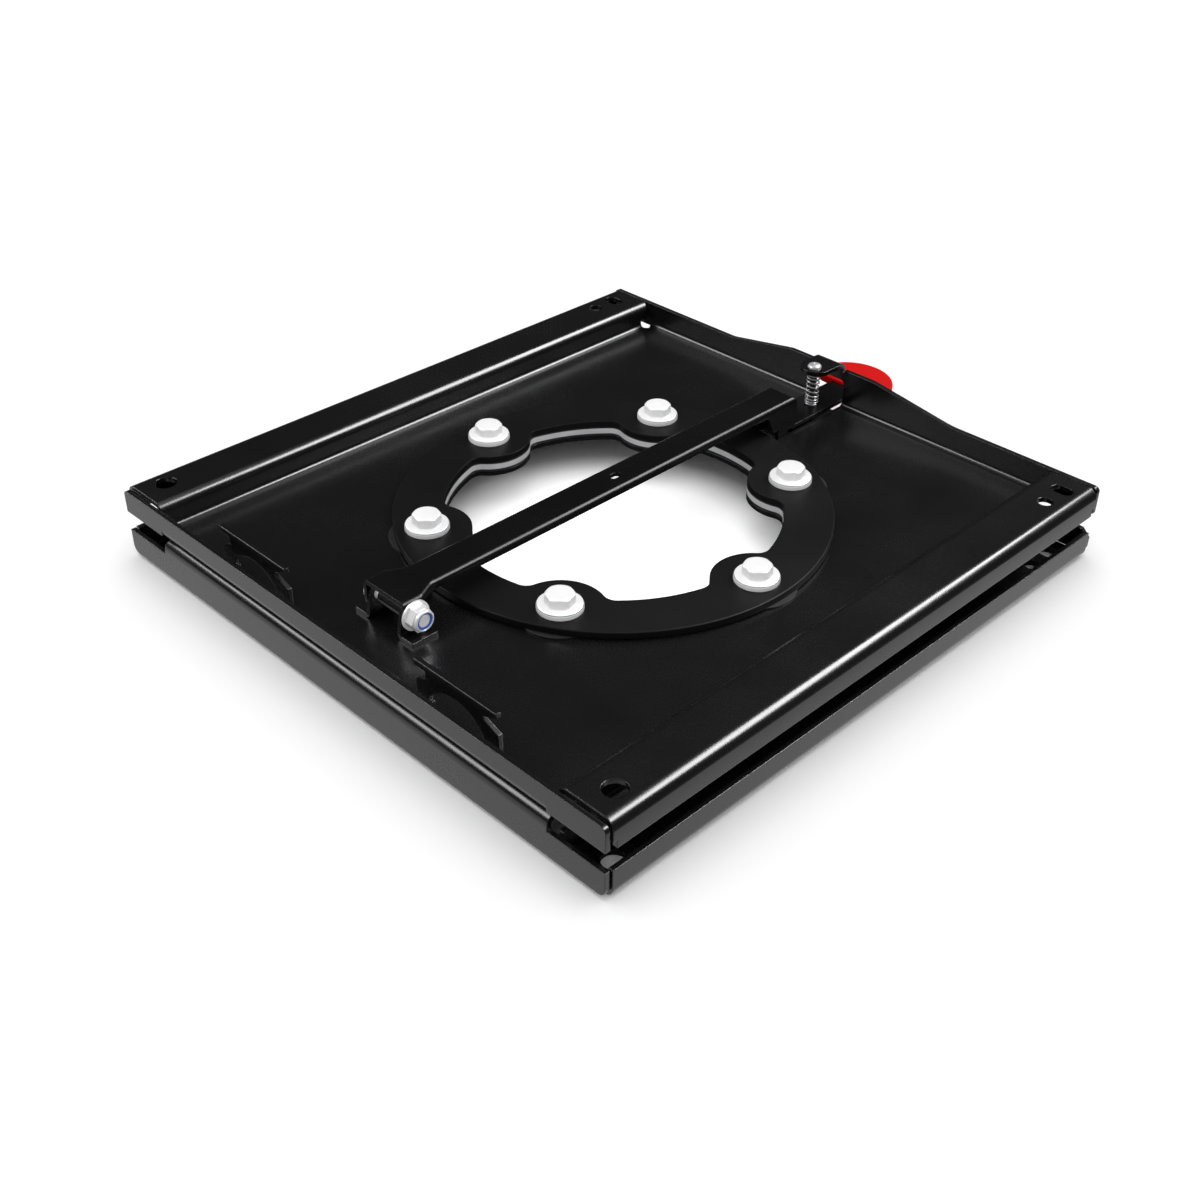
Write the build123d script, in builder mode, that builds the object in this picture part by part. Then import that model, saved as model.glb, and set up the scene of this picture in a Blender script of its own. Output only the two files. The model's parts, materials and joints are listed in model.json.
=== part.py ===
"""Swivel seat base: two folded trays on a riveted ring stack, with a sprung lever lock."""
import os
from math import cos, radians, sin, sqrt

from build123d import *

os.makedirs("parts", exist_ok=True)

# Origin on the swivel axis at the underside. +Z up, +Y to the handle, front edge at -Y. Millimetres.

# Trays
TRAY_WIDTH = 400.0
TRAY_DEPTH = 410.0
SHEET = 3.0
BEND_IN = 3.0
BEND_OUT = BEND_IN + SHEET
SIDE_OUT = TRAY_WIDTH / 2
LIP_OUT = TRAY_DEPTH / 2
LIP_IN = LIP_OUT - SHEET
LIP_BEND = LIP_OUT - BEND_OUT
TRAY_HEIGHT = 47.0
FLANGE_WIDTH = 35.0
WEB_HALF = SIDE_OUT - FLANGE_WIDTH
UPPER_WEB = 28.0
UPPER_WEB_TOP = UPPER_WEB + SHEET
LOWER_WEB_TOP = 26.0
LOWER_WEB = LOWER_WEB_TOP - SHEET
SIDE_LIP_UPPER = 30.0
SIDE_LIP_LOWER = 17.5
END_GAP = 1.0
FLANGE_END = LIP_IN - END_GAP
LIP_HALF = SIDE_OUT - END_GAP
LIP_BEND_HALF = WEB_HALF - 4.0
RELIEF_R = 4.5
RELIEF_AT = (LIP_BEND_HALF + 2.5, LIP_BEND - 0.5)
FRONT_LIP_TOP = 44.5
EAR_EDGE_UPPER = 30.0
EAR_EDGE_LOWER = 17.5
LOWER_LIP_LOW = 2.5
EAR_ROUND_UPPER = 3.0
EAR_ROUND_LOWER = 4.5
EAR_CUT_REAR = 5.0

# Rear hump, tab and window of the upper tray
HUMP_TOP = 56.0
HUMP_HALF = 34.0
HUMP_LEFT_FOOT = -85.0
HUMP_LEFT_ROUND = 12.0
HUMP_RIGHT_MID = (55.0, 53.0)
HUMP_RIGHT_FOOT = 95.0
HUMP_RIGHT_ROUNDS = (30.0, 40.0, 60.0)
TAB_TOP = 61.0
TAB_HALF = 10.0
TAB_END = LIP_OUT - 28.5
TAB_HOLE_R = 2.7
TAB_RELIEF = 1.5
WINDOW_CLEAR = 1.0
WINDOW_TOP = 49.0
WINDOW_ROUND = 3.0
SLOT_CLEAR = 0.4
SLOT_FRONT_CLEAR = 4.0
SLOT_ROUND = 2.0

# Holes in the flanges
HOLE_X = SIDE_OUT - 15.0
FRONT_HOLE_Y = 20.0 - LIP_OUT
FRONT_HOLE_R = 6.5
REAR_SLOT_Y = LIP_OUT - 19.0
REAR_SLOT_LENGTH = 13.5
REAR_SLOT_R = 4.5
SMALL_HOLE_Y = LIP_OUT - 37.5
SMALL_HOLE_R = 4.5

# Ring stack
RIVET_COUNT = 6
RIVET_CIRCLE_R = 110.5
RING_INNER_R = RIVET_CIRCLE_R - 10.5
LOBE_R = 25.8
LOBE_BLEND = 8.0
LOWER_SLIDE_TOP = LOWER_WEB_TOP + 1.5
SLIDE_CLEAR = 0.1
LOWER_SLIDE_RIM = UPPER_WEB - SLIDE_CLEAR
SPACER_R = RIVET_CIRCLE_R + 8.6
WEB_HOLE_R = SPACER_R + 0.5
SPACER_TOP = UPPER_WEB_TOP + SLIDE_CLEAR
SLIDE_TOP = SPACER_TOP + 0.9
SLIDE_R = SPACER_R + 8.9
SLIDE_LOBE_R = 22.5
CLAMP_TOP = SLIDE_TOP + 4.0
CLAMP_R = SLIDE_R + 1.5
CLAMP_EDGE = 0.5
LOWER_SLIDE_R = CLAMP_R + 1.5

# Rivets: radius and height of each profile point, above the clamp ring and below the lower web
RIVET_SHANK_R = 6.0
RIVET_HEAD = [(0, 9.7), (6.4, 9.7), (7.2, 9.0), (8.2, 7.0), (8.7, 4.4), (12.3, 3.5), (13.0, 2.8), (13.0, 0)]
RIVET_TAIL = [(9.5, 0), (8.9, -2.4), (7.3, -3.2), (0, -3.2)]

# Lock notches in the lower web
NOTCH_COUNT = 4
NOTCH_CLEAR = 0.6
NOTCH_END_CLEAR = 2.5

# Lever
PIVOT_Y = 42.0 - LIP_OUT
PIVOT_Z = UPPER_WEB_TOP + 14.0
LEVER_SHEET = 2.5
LEVER_TOP = 54.2
LEVER_BEND = 3.2
LEVER_BEND_IN = LEVER_BEND - LEVER_SHEET
BAR_HALF = 11.4
BAR_FLANGE = 49.3
HEAD_HALF = 17.0
HEAD_ROUND = 4.0
NECK_ROUND = 9.0
EAR_R = 6.5
EAR_LOW = 35.0
NECK_START = PIVOT_Y + EAR_R
NECK_END = PIVOT_Y + 18.0
PRONG_FROM = CLAMP_R + 7.5
PRONG_TO = PRONG_FROM + 10.0
LEVER_END = PRONG_TO + 7.0
SKIRT_RUN = 6.0
SKIRT_FROM = PRONG_FROM - SKIRT_RUN - 5.0
SKIRT_FRONT_LOW = CLAMP_TOP + 0.8
SKIRT_ROUND = 2.0
PRONG_TAPER = 1.0
PRONG_LOW = LOWER_WEB_TOP + 0.4
SKIRT_REAR_LOW = 33.5
TONGUE_LOW = 32.0
TONGUE_HALF = 11.0
TONGUE_PAST_CENTRE = 6.5
TONGUE_ROUND = 4.0
TONGUE_HOLE_R = 3.4
BAR_HOLE_Y = 1.0
BAR_HOLE_LENGTH = 8.0
BAR_HOLE_R = 2.5

# Grip
GRIP_FROM = LIP_OUT + 7.0
GRIP_R = 24.5
GRIP_CENTRE_Y = GRIP_FROM + 13.5
GRIP_CORNER = 10.0
GRIP_LOW = 30.4
GRIP_TOP = 36.8
GRIP_EDGE = 1.6
TONGUE_END = GRIP_CENTRE_Y + TONGUE_PAST_CENTRE

# Spring and its screw
SPRING_Y = TAB_END + 8.1
SPRING_R = 4.0
SPRING_WIRE_R = 0.55
SPRING_TURNS = 9.5
SCREW_R = 2.5
SCREW_HEAD_R = 4.6
SCREW_HEAD = 2.5
SCREW_DOME = 2.0
SCREW_LOW = LOWER_WEB_TOP + 1.5
SCREW_TIP = 0.5
SEAT = 0.02

# Pivot: two folded angles, bolt, nut and sleeve
ANGLE_SHEET = 2.5
ANGLE_BEND_IN = 1.5
ANGLE_OUT = 14.1
ANGLE_EAR_R = 6.0
ANGLE_FOOT_END = 24.0
ANGLE_FROM = PIVOT_Y - 8.0
ANGLE_TO = PIVOT_Y + 9.0
BOLT_R = 4.0
BOLT_HEAD_R = 6.2
BOLT_HEAD = 1.5
BOLT_TIP = 0.6
RUNNING = 0.05
SLEEVE_R = 4.9
SLEEVE_FROM = -8.0
SLEEVE_TO = 11.0
NUT_FLATS = 13.0
NUT_FLANGE_R = 8.7
NUT_FLANGE = 1.3
NUT_HEX = 5.2
NUT_COLLAR_R = 6.1
NUT_COLLAR_ROUND = 0.8
NUT_END = 8.6
INSERT_R = 5.0
INSERT_THICK = 2.2
INSERT_SUNK = 0.4
WASHER_GAP = 0.1

# Hook brackets on the upper web: position along the bracket and height of each edge point
HOOK_X = 84.4
HOOK_Y = 13.0 - LIP_OUT
HOOK_SHEET = 2.8
HOOK_LEFT = [(30.5, 53), (-30.5, 53), (-30.5, 49.5), (-22, 49.5), (-22, 44.5), (-29.5, 41)]
HOOK_RIGHT = [(31.5, 40.5), (19.5, 45), (19.5, 46), (30.5, 50.5)]
HOOK_FOOT_LEFT = -29.5
HOOK_FOOT_RIGHT = 31.5
HOOK_ROUND = 0.6
ARCH_HALF = 20.5
ARCH_FOOT = 34.0
ARCH_TOP = 44.7
NIB = 2.0

# Where the lever passes through the trays
WINDOW_HALF = TONGUE_HALF + WINDOW_CLEAR
SLOT_HALF = BAR_HALF + SLOT_CLEAR
SLOT_FRONT = PRONG_FROM - SLOT_FRONT_CLEAR
NOTCH_HALF = BAR_HALF + NOTCH_CLEAR
NOTCH_FROM = PRONG_FROM - NOTCH_END_CLEAR
NOTCH_TO = PRONG_TO + NOTCH_END_CLEAR
RIVET_ANGLE = 360.0 / RIVET_COUNT
# How far a cutting body runs past the face it cuts.
PAST = 1.0


def unit(x, z):
    """Direction (x, z) scaled to length 1."""
    size = sqrt(x * x + z * z)
    return x / size, z / size


def fold_corners(path, radius_in, thick):
    """Corners (x, z, bend radius) of the closed outline of a sheet folded along its middle line."""
    half = thick / 2
    sides = {1: [], -1: []}
    last = len(path) - 1
    for i, (x, z) in enumerate(path):
        before = path[max(i - 1, 0)]
        after = path[min(i + 1, last)]
        if i == 0:
            before = (2 * x - after[0], 2 * z - after[1])
        if i == last:
            after = (2 * x - before[0], 2 * z - before[1])
        d0 = unit(x - before[0], z - before[1])
        d1 = unit(after[0] - x, after[1] - z)
        turn = d0[0] * d1[1] - d0[1] * d1[0]
        for side in sides:
            n0 = (-d0[1] * side * half, d0[0] * side * half)
            n1 = (-d1[1] * side * half, d1[0] * side * half)
            if abs(turn) < 1e-6:
                sides[side].append((x + n0[0], z + n0[1], 0.0))
            else:
                radius = radius_in if turn * side > 0 else radius_in + thick
                sides[side].append((x + n0[0] + n1[0], z + n0[1] + n1[1], radius))
    return sides[1] + sides[-1][::-1]


def folded_outline(corners):
    """Draw the outline of a folded sheet from its corners."""
    FilletPolyline(*[(x, z) for x, z, _ in corners], radius=[radius for _, _, radius in corners], close=True)


def tray_section(web_mid, flange_mid, lip_end):
    """Corners across a tray: lip, flange, wall, web, wall, flange, lip."""
    wall = WEB_HALF + SHEET / 2
    out = SIDE_OUT - SHEET / 2
    path = [(-out, lip_end), (-out, flange_mid), (-wall, flange_mid), (-wall, web_mid)]
    path += [(-x, z) for x, z in path[::-1]]
    return fold_corners(path, BEND_IN, SHEET)


def lip_section(web_mid, front_end, rear_end):
    """Corners along a tray: front lip, web, rear lip."""
    out = LIP_OUT - SHEET / 2
    return fold_corners([(-out, front_end), (-out, web_mid), (out, web_mid), (out, rear_end)], BEND_IN, SHEET)


def flange_holes():
    """Draw the round holes and the slot of both flanges."""
    for side in (-1, 1):
        with Locations((side * HOLE_X, FRONT_HOLE_Y)):
            Circle(FRONT_HOLE_R)
        with Locations((side * HOLE_X, REAR_SLOT_Y)):
            SlotOverall(REAR_SLOT_LENGTH, 2 * REAR_SLOT_R)
        with Locations((side * HOLE_X, SMALL_HOLE_Y)):
            Circle(SMALL_HOLE_R)


def web_ends():
    """Draw what is cut from the web before its lips go on: the ends, and a relief at each corner."""
    for sx in (-1, 1):
        for sy in (-1, 1):
            with Locations((sx * RELIEF_AT[0], sy * RELIEF_AT[1])):
                Circle(RELIEF_R)
            with Locations((sx * (LIP_BEND_HALF + SIDE_OUT) / 2, sy * (RELIEF_AT[1] + LIP_OUT) / 2)):
                Rectangle(SIDE_OUT - LIP_BEND_HALF, LIP_OUT - RELIEF_AT[1])
    for end in (-1, 1):
        with Locations((0, end * (LIP_BEND + LIP_OUT) / 2)):
            Rectangle(2 * LIP_BEND_HALF, LIP_OUT - LIP_BEND)


def middle_window(low, high):
    """Cut the middle of a lip between two heights, so that only its ears stay there."""
    with Locations((0, (low + high) / 2)):
        Rectangle(2 * LIP_BEND_HALF, high - low, mode=Mode.SUBTRACT)


with BuildSketch() as rivet_pattern:
    with PolarLocations(RIVET_CIRCLE_R, RIVET_COUNT):
        Circle(RIVET_SHANK_R)

# The opening with six lobes, rounded where each lobe meets the circle.
with BuildSketch() as ring_opening:
    Circle(RING_INNER_R)
    with PolarLocations(RIVET_CIRCLE_R, RIVET_COUNT):
        Circle(LOBE_R, mode=Mode.SUBTRACT)
    fillet(ring_opening.vertices(), radius=LOBE_BLEND)

upper_mid = UPPER_WEB + SHEET / 2

with BuildPart() as upper_tray:
    with BuildSketch(Plane.XZ):
        with BuildLine():
            folded_outline(tray_section(upper_mid, TRAY_HEIGHT - SHEET / 2, SIDE_LIP_UPPER))
        make_face()
    extrude(amount=FLANGE_END, both=True)
    with BuildSketch(Plane.XY.offset(UPPER_WEB - PAST)):
        web_ends()
    extrude(amount=BEND_OUT + 2 * PAST, mode=Mode.SUBTRACT)
    # The lip bends, with the web they share left out.
    with BuildSketch(Plane.YZ):
        with BuildLine():
            folded_outline(lip_section(upper_mid, FRONT_LIP_TOP, TRAY_HEIGHT))
        make_face()
        with Locations((0, upper_mid)):
            Rectangle(2 * LIP_BEND, SHEET + PAST, mode=Mode.SUBTRACT)
    extrude(amount=LIP_BEND_HALF, both=True)
    # Front lip, full width above the bend, with rounded upper corners.
    with BuildSketch(Plane.XZ.offset(LIP_IN)) as front_lip:
        with Locations((0, (EAR_EDGE_UPPER + FRONT_LIP_TOP) / 2)):
            Rectangle(2 * LIP_HALF, FRONT_LIP_TOP - EAR_EDGE_UPPER)
        fillet(front_lip.vertices().group_by(Axis.Y)[-1], radius=EAR_ROUND_UPPER)
        middle_window(EAR_EDGE_UPPER, UPPER_WEB + BEND_OUT)
    extrude(amount=SHEET)
    # Rear lip with the raised middle.
    with BuildSketch(Plane.XZ.offset(-LIP_OUT)) as rear_lip:
        with BuildLine():
            Polyline(
                (-LIP_HALF, EAR_EDGE_UPPER), (LIP_HALF, EAR_EDGE_UPPER), (LIP_HALF, TRAY_HEIGHT),
                (HUMP_RIGHT_FOOT, TRAY_HEIGHT), HUMP_RIGHT_MID, (HUMP_HALF, HUMP_TOP),
                (-HUMP_HALF, HUMP_TOP), (HUMP_LEFT_FOOT, TRAY_HEIGHT), (-LIP_HALF, TRAY_HEIGHT), close=True,
            )
        make_face()
        bends = [(HUMP_LEFT_FOOT, HUMP_LEFT_ROUND), (-HUMP_HALF, HUMP_LEFT_ROUND)]
        bends += zip((HUMP_HALF, HUMP_RIGHT_MID[0], HUMP_RIGHT_FOOT), HUMP_RIGHT_ROUNDS)
        for x, radius in bends[::-1]:
            fillet(rear_lip.vertices().filter_by_position(Axis.X, x - 0.1, x + 0.1), radius=radius)
        for end in (0, -1):
            fillet(rear_lip.vertices().group_by(Axis.X)[end].sort_by(Axis.Y)[-1], radius=EAR_ROUND_UPPER)
        middle_window(EAR_EDGE_UPPER, UPPER_WEB + BEND_OUT)
        # Room for the tab's bend, and a relief cut at each side of it.
        with Locations((0, HUMP_TOP)):
            Rectangle(2 * (TAB_HALF + TAB_RELIEF), 2 * (HUMP_TOP - TAB_TOP + BEND_OUT) + PAST, mode=Mode.SUBTRACT)
    extrude(amount=SHEET)
    # Tab folded inwards over the spring.
    tab_path = [
        (LIP_OUT - SHEET / 2, TAB_TOP - BEND_OUT - PAST), (LIP_OUT - SHEET / 2, TAB_TOP - SHEET / 2),
        (TAB_END + TAB_HALF, TAB_TOP - SHEET / 2),
    ]
    with BuildSketch(Plane.YZ):
        with BuildLine():
            folded_outline(fold_corners(tab_path, BEND_IN, SHEET))
        make_face()
    extrude(amount=TAB_HALF, both=True)
    with BuildSketch(Plane.XY.offset(TAB_TOP - SHEET)):
        with Locations((0, TAB_END + TAB_HALF)):
            Circle(TAB_HALF)
    extrude(amount=SHEET)
    with BuildSketch(Plane.XY.offset(TAB_TOP - SHEET - PAST)):
        with Locations((0, SPRING_Y)):
            Circle(TAB_HOLE_R)
    extrude(amount=SHEET + 2 * PAST, mode=Mode.SUBTRACT)
    # Window in the rear lip, joined to the slot in the web below the tongue.
    with BuildSketch(Plane.XZ.offset(-LIP_OUT - PAST)) as window:
        with Locations((0, (UPPER_WEB - PAST + WINDOW_TOP) / 2)):
            Rectangle(2 * WINDOW_HALF, WINDOW_TOP - UPPER_WEB + PAST)
        fillet(window.vertices().group_by(Axis.Y)[-1], radius=WINDOW_ROUND)
    extrude(amount=BEND_OUT + PAST, mode=Mode.SUBTRACT)
    with BuildSketch(Plane.XY.offset(UPPER_WEB - PAST)) as web_openings:
        with Locations((0, (SLOT_FRONT + LIP_OUT) / 2)):
            Rectangle(2 * SLOT_HALF, LIP_OUT - SLOT_FRONT)
        fillet(web_openings.vertices().group_by(Axis.Y)[0], radius=SLOT_ROUND)
        Circle(WEB_HOLE_R)
    extrude(amount=SHEET + 2 * PAST, mode=Mode.SUBTRACT)
    with BuildSketch(Plane.XY.offset(TRAY_HEIGHT - SHEET - PAST)):
        flange_holes()
    extrude(amount=SHEET + 2 * PAST, mode=Mode.SUBTRACT)

lower_mid = LOWER_WEB_TOP - SHEET / 2

with BuildPart() as lower_tray:
    with BuildSketch(Plane.XZ):
        with BuildLine():
            folded_outline(tray_section(lower_mid, SHEET / 2, SIDE_LIP_LOWER))
        make_face()
    extrude(amount=FLANGE_END, both=True)
    with BuildSketch(Plane.XY.offset(LOWER_WEB_TOP + PAST)):
        web_ends()
    extrude(amount=-BEND_OUT - 2 * PAST, mode=Mode.SUBTRACT)
    with BuildSketch(Plane.YZ):
        with BuildLine():
            folded_outline(lip_section(lower_mid, LOWER_LIP_LOW, LOWER_LIP_LOW))
        make_face()
        with Locations((0, lower_mid)):
            Rectangle(2 * LIP_BEND, SHEET + PAST, mode=Mode.SUBTRACT)
    extrude(amount=LIP_BEND_HALF, both=True)
    # Front and rear lips, full width below the bend. The rear one has its upper corners cut.
    for face, cut in ((LIP_IN, 0.0), (-LIP_OUT, EAR_CUT_REAR)):
        with BuildSketch(Plane.XZ.offset(face)) as lip:
            with Locations((0, (EAR_EDGE_LOWER + LOWER_LIP_LOW) / 2)):
                Rectangle(2 * LIP_HALF, EAR_EDGE_LOWER - LOWER_LIP_LOW)
            fillet(lip.vertices().group_by(Axis.Y)[0], radius=EAR_ROUND_LOWER)
            if cut:
                chamfer(lip.vertices().group_by(Axis.Y)[-1], length=cut)
        extrude(amount=SHEET)
    # Ring opening, rivet holes and lock notches in the web.
    with BuildSketch(Plane.XY.offset(LOWER_WEB - PAST)):
        add(ring_opening.sketch)
        add(rivet_pattern.sketch)
        with PolarLocations((NOTCH_FROM + NOTCH_TO) / 2, NOTCH_COUNT):
            Rectangle(NOTCH_TO - NOTCH_FROM, 2 * NOTCH_HALF)
    extrude(amount=SHEET + 2 * PAST, mode=Mode.SUBTRACT)
    with BuildSketch(Plane.XY.offset(-PAST)):
        flange_holes()
    extrude(amount=SHEET + 2 * PAST, mode=Mode.SUBTRACT)

with BuildPart() as lower_slide_ring:
    with BuildSketch(Plane.XY.offset(LOWER_WEB_TOP)):
        Circle(LOWER_SLIDE_R)
        add(ring_opening.sketch, mode=Mode.SUBTRACT)
        add(rivet_pattern.sketch, mode=Mode.SUBTRACT)
    extrude(amount=LOWER_SLIDE_TOP - LOWER_WEB_TOP)
    with BuildSketch(Plane.XY.offset(LOWER_SLIDE_TOP)):
        Circle(LOWER_SLIDE_R)
        Circle(WEB_HOLE_R, mode=Mode.SUBTRACT)
    extrude(amount=LOWER_SLIDE_RIM - LOWER_SLIDE_TOP)

with BuildPart() as spacer_ring:
    with BuildSketch(Plane.XY.offset(LOWER_SLIDE_TOP)):
        Circle(SPACER_R)
        add(ring_opening.sketch, mode=Mode.SUBTRACT)
        add(rivet_pattern.sketch, mode=Mode.SUBTRACT)
    extrude(amount=SPACER_TOP - LOWER_SLIDE_TOP)

with BuildPart() as upper_slide_ring:
    with BuildSketch(Plane.XY.offset(SPACER_TOP)):
        Circle(SLIDE_R)
        with PolarLocations(RIVET_CIRCLE_R, RIVET_COUNT):
            Circle(SLIDE_LOBE_R)
        add(ring_opening.sketch, mode=Mode.SUBTRACT)
        add(rivet_pattern.sketch, mode=Mode.SUBTRACT)
    extrude(amount=SLIDE_TOP - SPACER_TOP)

with BuildPart() as clamp_ring:
    with BuildSketch(Plane.XY.offset(SLIDE_TOP)):
        Circle(CLAMP_R)
        add(ring_opening.sketch, mode=Mode.SUBTRACT)
        add(rivet_pattern.sketch, mode=Mode.SUBTRACT)
    extrude(amount=CLAMP_TOP - SLIDE_TOP)
    chamfer(clamp_ring.edges().group_by(Axis.Z)[-1].sort_by(SortBy.LENGTH)[-1], length=CLAMP_EDGE)

rivet_profile = [(radius, CLAMP_TOP + height) for radius, height in RIVET_HEAD]
rivet_profile += [(RIVET_SHANK_R, CLAMP_TOP), (RIVET_SHANK_R, LOWER_WEB)]
rivet_profile += [(radius, LOWER_WEB + height) for radius, height in RIVET_TAIL]
rivets = []
for number in range(RIVET_COUNT):
    angle = radians(number * RIVET_ANGLE)
    with BuildPart() as rivet:
        with BuildSketch(Plane.XZ):
            with BuildLine():
                Polyline(*rivet_profile, close=True)
            make_face()
        revolve(axis=Axis.Z)
    rivets.append(rivet.part.moved(Location((RIVET_CIRCLE_R * cos(angle), RIVET_CIRCLE_R * sin(angle), 0))))

with BuildPart() as lever_hollow:
    with BuildSketch(Plane.XY.offset(PRONG_LOW - PAST)):
        with BuildLine():
            inner_side = [
                (HEAD_HALF - LEVER_SHEET, PIVOT_Y - 2 * EAR_R), (HEAD_HALF - LEVER_SHEET, NECK_START),
                (BAR_HALF - LEVER_SHEET, NECK_END), (BAR_HALF - LEVER_SHEET, LEVER_END - LEVER_SHEET),
            ]
            Polyline(*inner_side, *[(-x, y) for x, y in inner_side[::-1]], close=True)
        make_face()
    extrude(amount=LEVER_TOP - LEVER_SHEET - PRONG_LOW + PAST)
    fillet(lever_hollow.edges().filter_by(Axis.Z).group_by(Axis.Y)[1], radius=HEAD_ROUND - LEVER_SHEET)
    fillet(lever_hollow.edges().filter_by(Axis.Z).group_by(Axis.Y)[-2], radius=NECK_ROUND + LEVER_SHEET)
    fillet(lever_hollow.faces().sort_by(Axis.Z)[-1].edges(), radius=LEVER_BEND_IN)

with BuildPart() as lever:
    with BuildSketch(Plane.XY.offset(PRONG_LOW)):
        with BuildLine():
            outer_side = [
                (HEAD_HALF, PIVOT_Y - EAR_R), (HEAD_HALF, NECK_START), (BAR_HALF, NECK_END), (BAR_HALF, LEVER_END),
            ]
            Polyline(*outer_side, *[(-x, y) for x, y in outer_side[::-1]], close=True)
        make_face()
    extrude(amount=LEVER_TOP - PRONG_LOW)
    fillet(lever.edges().filter_by(Axis.Z).group_by(Axis.Y)[1], radius=HEAD_ROUND)
    fillet(lever.edges().filter_by(Axis.Z).group_by(Axis.Y)[-2], radius=NECK_ROUND)
    outer_top = lever.faces().sort_by(Axis.Z)[-1].edges()
    fillet(outer_top - outer_top.sort_by(Axis.Y)[:1], radius=LEVER_BEND)
    add(lever_hollow.part, mode=Mode.SUBTRACT)
    # The edge seen from the side: ears at the pivot, shallow bar, deeper skirt, two prongs.
    with BuildSketch(Plane.YZ) as side_view:
        with BuildLine():
            Polyline(
                (PIVOT_Y - EAR_R, LEVER_TOP + PAST), (PIVOT_Y - EAR_R, EAR_LOW + EAR_R),
                (PIVOT_Y + EAR_R, EAR_LOW + EAR_R), (NECK_END, BAR_FLANGE),
                (SKIRT_FROM, BAR_FLANGE), (SKIRT_FROM + SKIRT_RUN, SKIRT_FRONT_LOW), (PRONG_FROM, SKIRT_FRONT_LOW),
                (PRONG_FROM + PRONG_TAPER, PRONG_LOW), (PRONG_TO - PRONG_TAPER, PRONG_LOW),
                (PRONG_TO, SKIRT_REAR_LOW), (LEVER_END - LEVER_SHEET, SKIRT_REAR_LOW),
                (LEVER_END - LEVER_SHEET, TONGUE_LOW), (LEVER_END + PAST, TONGUE_LOW),
                (LEVER_END + PAST, LEVER_TOP + PAST), close=True,
            )
        make_face()
        skirt_front = side_view.vertices().filter_by_position(Axis.X, SKIRT_FROM - 0.1, SKIRT_FROM + SKIRT_RUN + 0.1)
        fillet(skirt_front, radius=SKIRT_ROUND)
        with Locations((PIVOT_Y, EAR_LOW + EAR_R)):
            Circle(EAR_R)
    extrude(amount=HEAD_HALF + PAST, both=True, mode=Mode.INTERSECT)
    # Tongue out through the window to the grip.
    with BuildSketch(Plane.XY.offset(TONGUE_LOW)) as tongue:
        with Locations((0, (LEVER_END - LEVER_SHEET + TONGUE_END) / 2)):
            Rectangle(2 * TONGUE_HALF, TONGUE_END - LEVER_END + LEVER_SHEET)
        fillet(tongue.vertices().group_by(Axis.Y)[-1], radius=TONGUE_ROUND)
        with Locations((0, SPRING_Y)):
            Circle(TONGUE_HOLE_R, mode=Mode.SUBTRACT)
    extrude(amount=LEVER_SHEET)
    with BuildSketch(Plane.XY.offset(LEVER_TOP - LEVER_SHEET - PAST)):
        with Locations((0, BAR_HOLE_Y)):
            SlotOverall(BAR_HOLE_LENGTH, 2 * BAR_HOLE_R, rotation=90)
    extrude(amount=LEVER_SHEET + 2 * PAST, mode=Mode.SUBTRACT)
    with BuildSketch(Plane.YZ):
        with Locations((PIVOT_Y, PIVOT_Z)):
            Circle(BOLT_R + RUNNING)
    extrude(amount=HEAD_HALF + PAST, both=True, mode=Mode.SUBTRACT)

with BuildPart() as lever_grip:
    with BuildSketch(Plane.XY.offset(GRIP_LOW)) as grip_plan:
        with Locations((0, (GRIP_FROM + GRIP_CENTRE_Y) / 2)):
            Rectangle(2 * GRIP_R, GRIP_CENTRE_Y - GRIP_FROM)
        fillet(grip_plan.vertices().group_by(Axis.Y)[0], radius=GRIP_CORNER)
        with BuildLine():
            ThreePointArc((-GRIP_R, GRIP_CENTRE_Y), (0, GRIP_CENTRE_Y + GRIP_R), (GRIP_R, GRIP_CENTRE_Y))
            Line((GRIP_R, GRIP_CENTRE_Y), (-GRIP_R, GRIP_CENTRE_Y))
        make_face()
    extrude(amount=GRIP_TOP - GRIP_LOW)
    fillet(lever_grip.faces().sort_by(Axis.Z)[-1].edges(), radius=GRIP_EDGE)
    fillet(lever_grip.faces().sort_by(Axis.Z)[0].edges(), radius=GRIP_EDGE)
    # Socket for the tongue.
    with BuildSketch(Plane.XY.offset(TONGUE_LOW)) as socket:
        with Locations((0, (GRIP_FROM - PAST + TONGUE_END) / 2)):
            Rectangle(2 * TONGUE_HALF, TONGUE_END - GRIP_FROM + PAST)
        fillet(socket.vertices().group_by(Axis.Y)[-1], radius=TONGUE_ROUND)
    extrude(amount=LEVER_SHEET, mode=Mode.SUBTRACT)

spring_low = TONGUE_LOW + LEVER_SHEET + SPRING_WIRE_R + SEAT
spring_high = TAB_TOP - SHEET - SPRING_WIRE_R - SEAT
coil_pitch = (spring_high - spring_low) / SPRING_TURNS

with BuildPart() as spring:
    with BuildLine(Location((0, SPRING_Y, spring_low))) as coil:
        Helix(pitch=coil_pitch, height=spring_high - spring_low, radius=SPRING_R)
    with BuildSketch(Plane(origin=coil.line @ 0, z_dir=coil.line % 0)):
        Circle(SPRING_WIRE_R)
    sweep(path=coil.line, is_frenet=True)

with BuildPart() as spring_screw:
    with BuildSketch(Plane.XY.offset(SCREW_LOW)):
        with Locations((0, SPRING_Y)):
            Circle(SCREW_R)
    extrude(amount=TAB_TOP - SCREW_LOW)
    chamfer(spring_screw.edges().group_by(Axis.Z)[0], length=SCREW_TIP)
    with BuildSketch(Plane.XY.offset(TAB_TOP)):
        with Locations((0, SPRING_Y)):
            Circle(SCREW_HEAD_R)
    extrude(amount=SCREW_HEAD)
    fillet(spring_screw.edges().group_by(Axis.Z)[-1], radius=SCREW_DOME)

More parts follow.
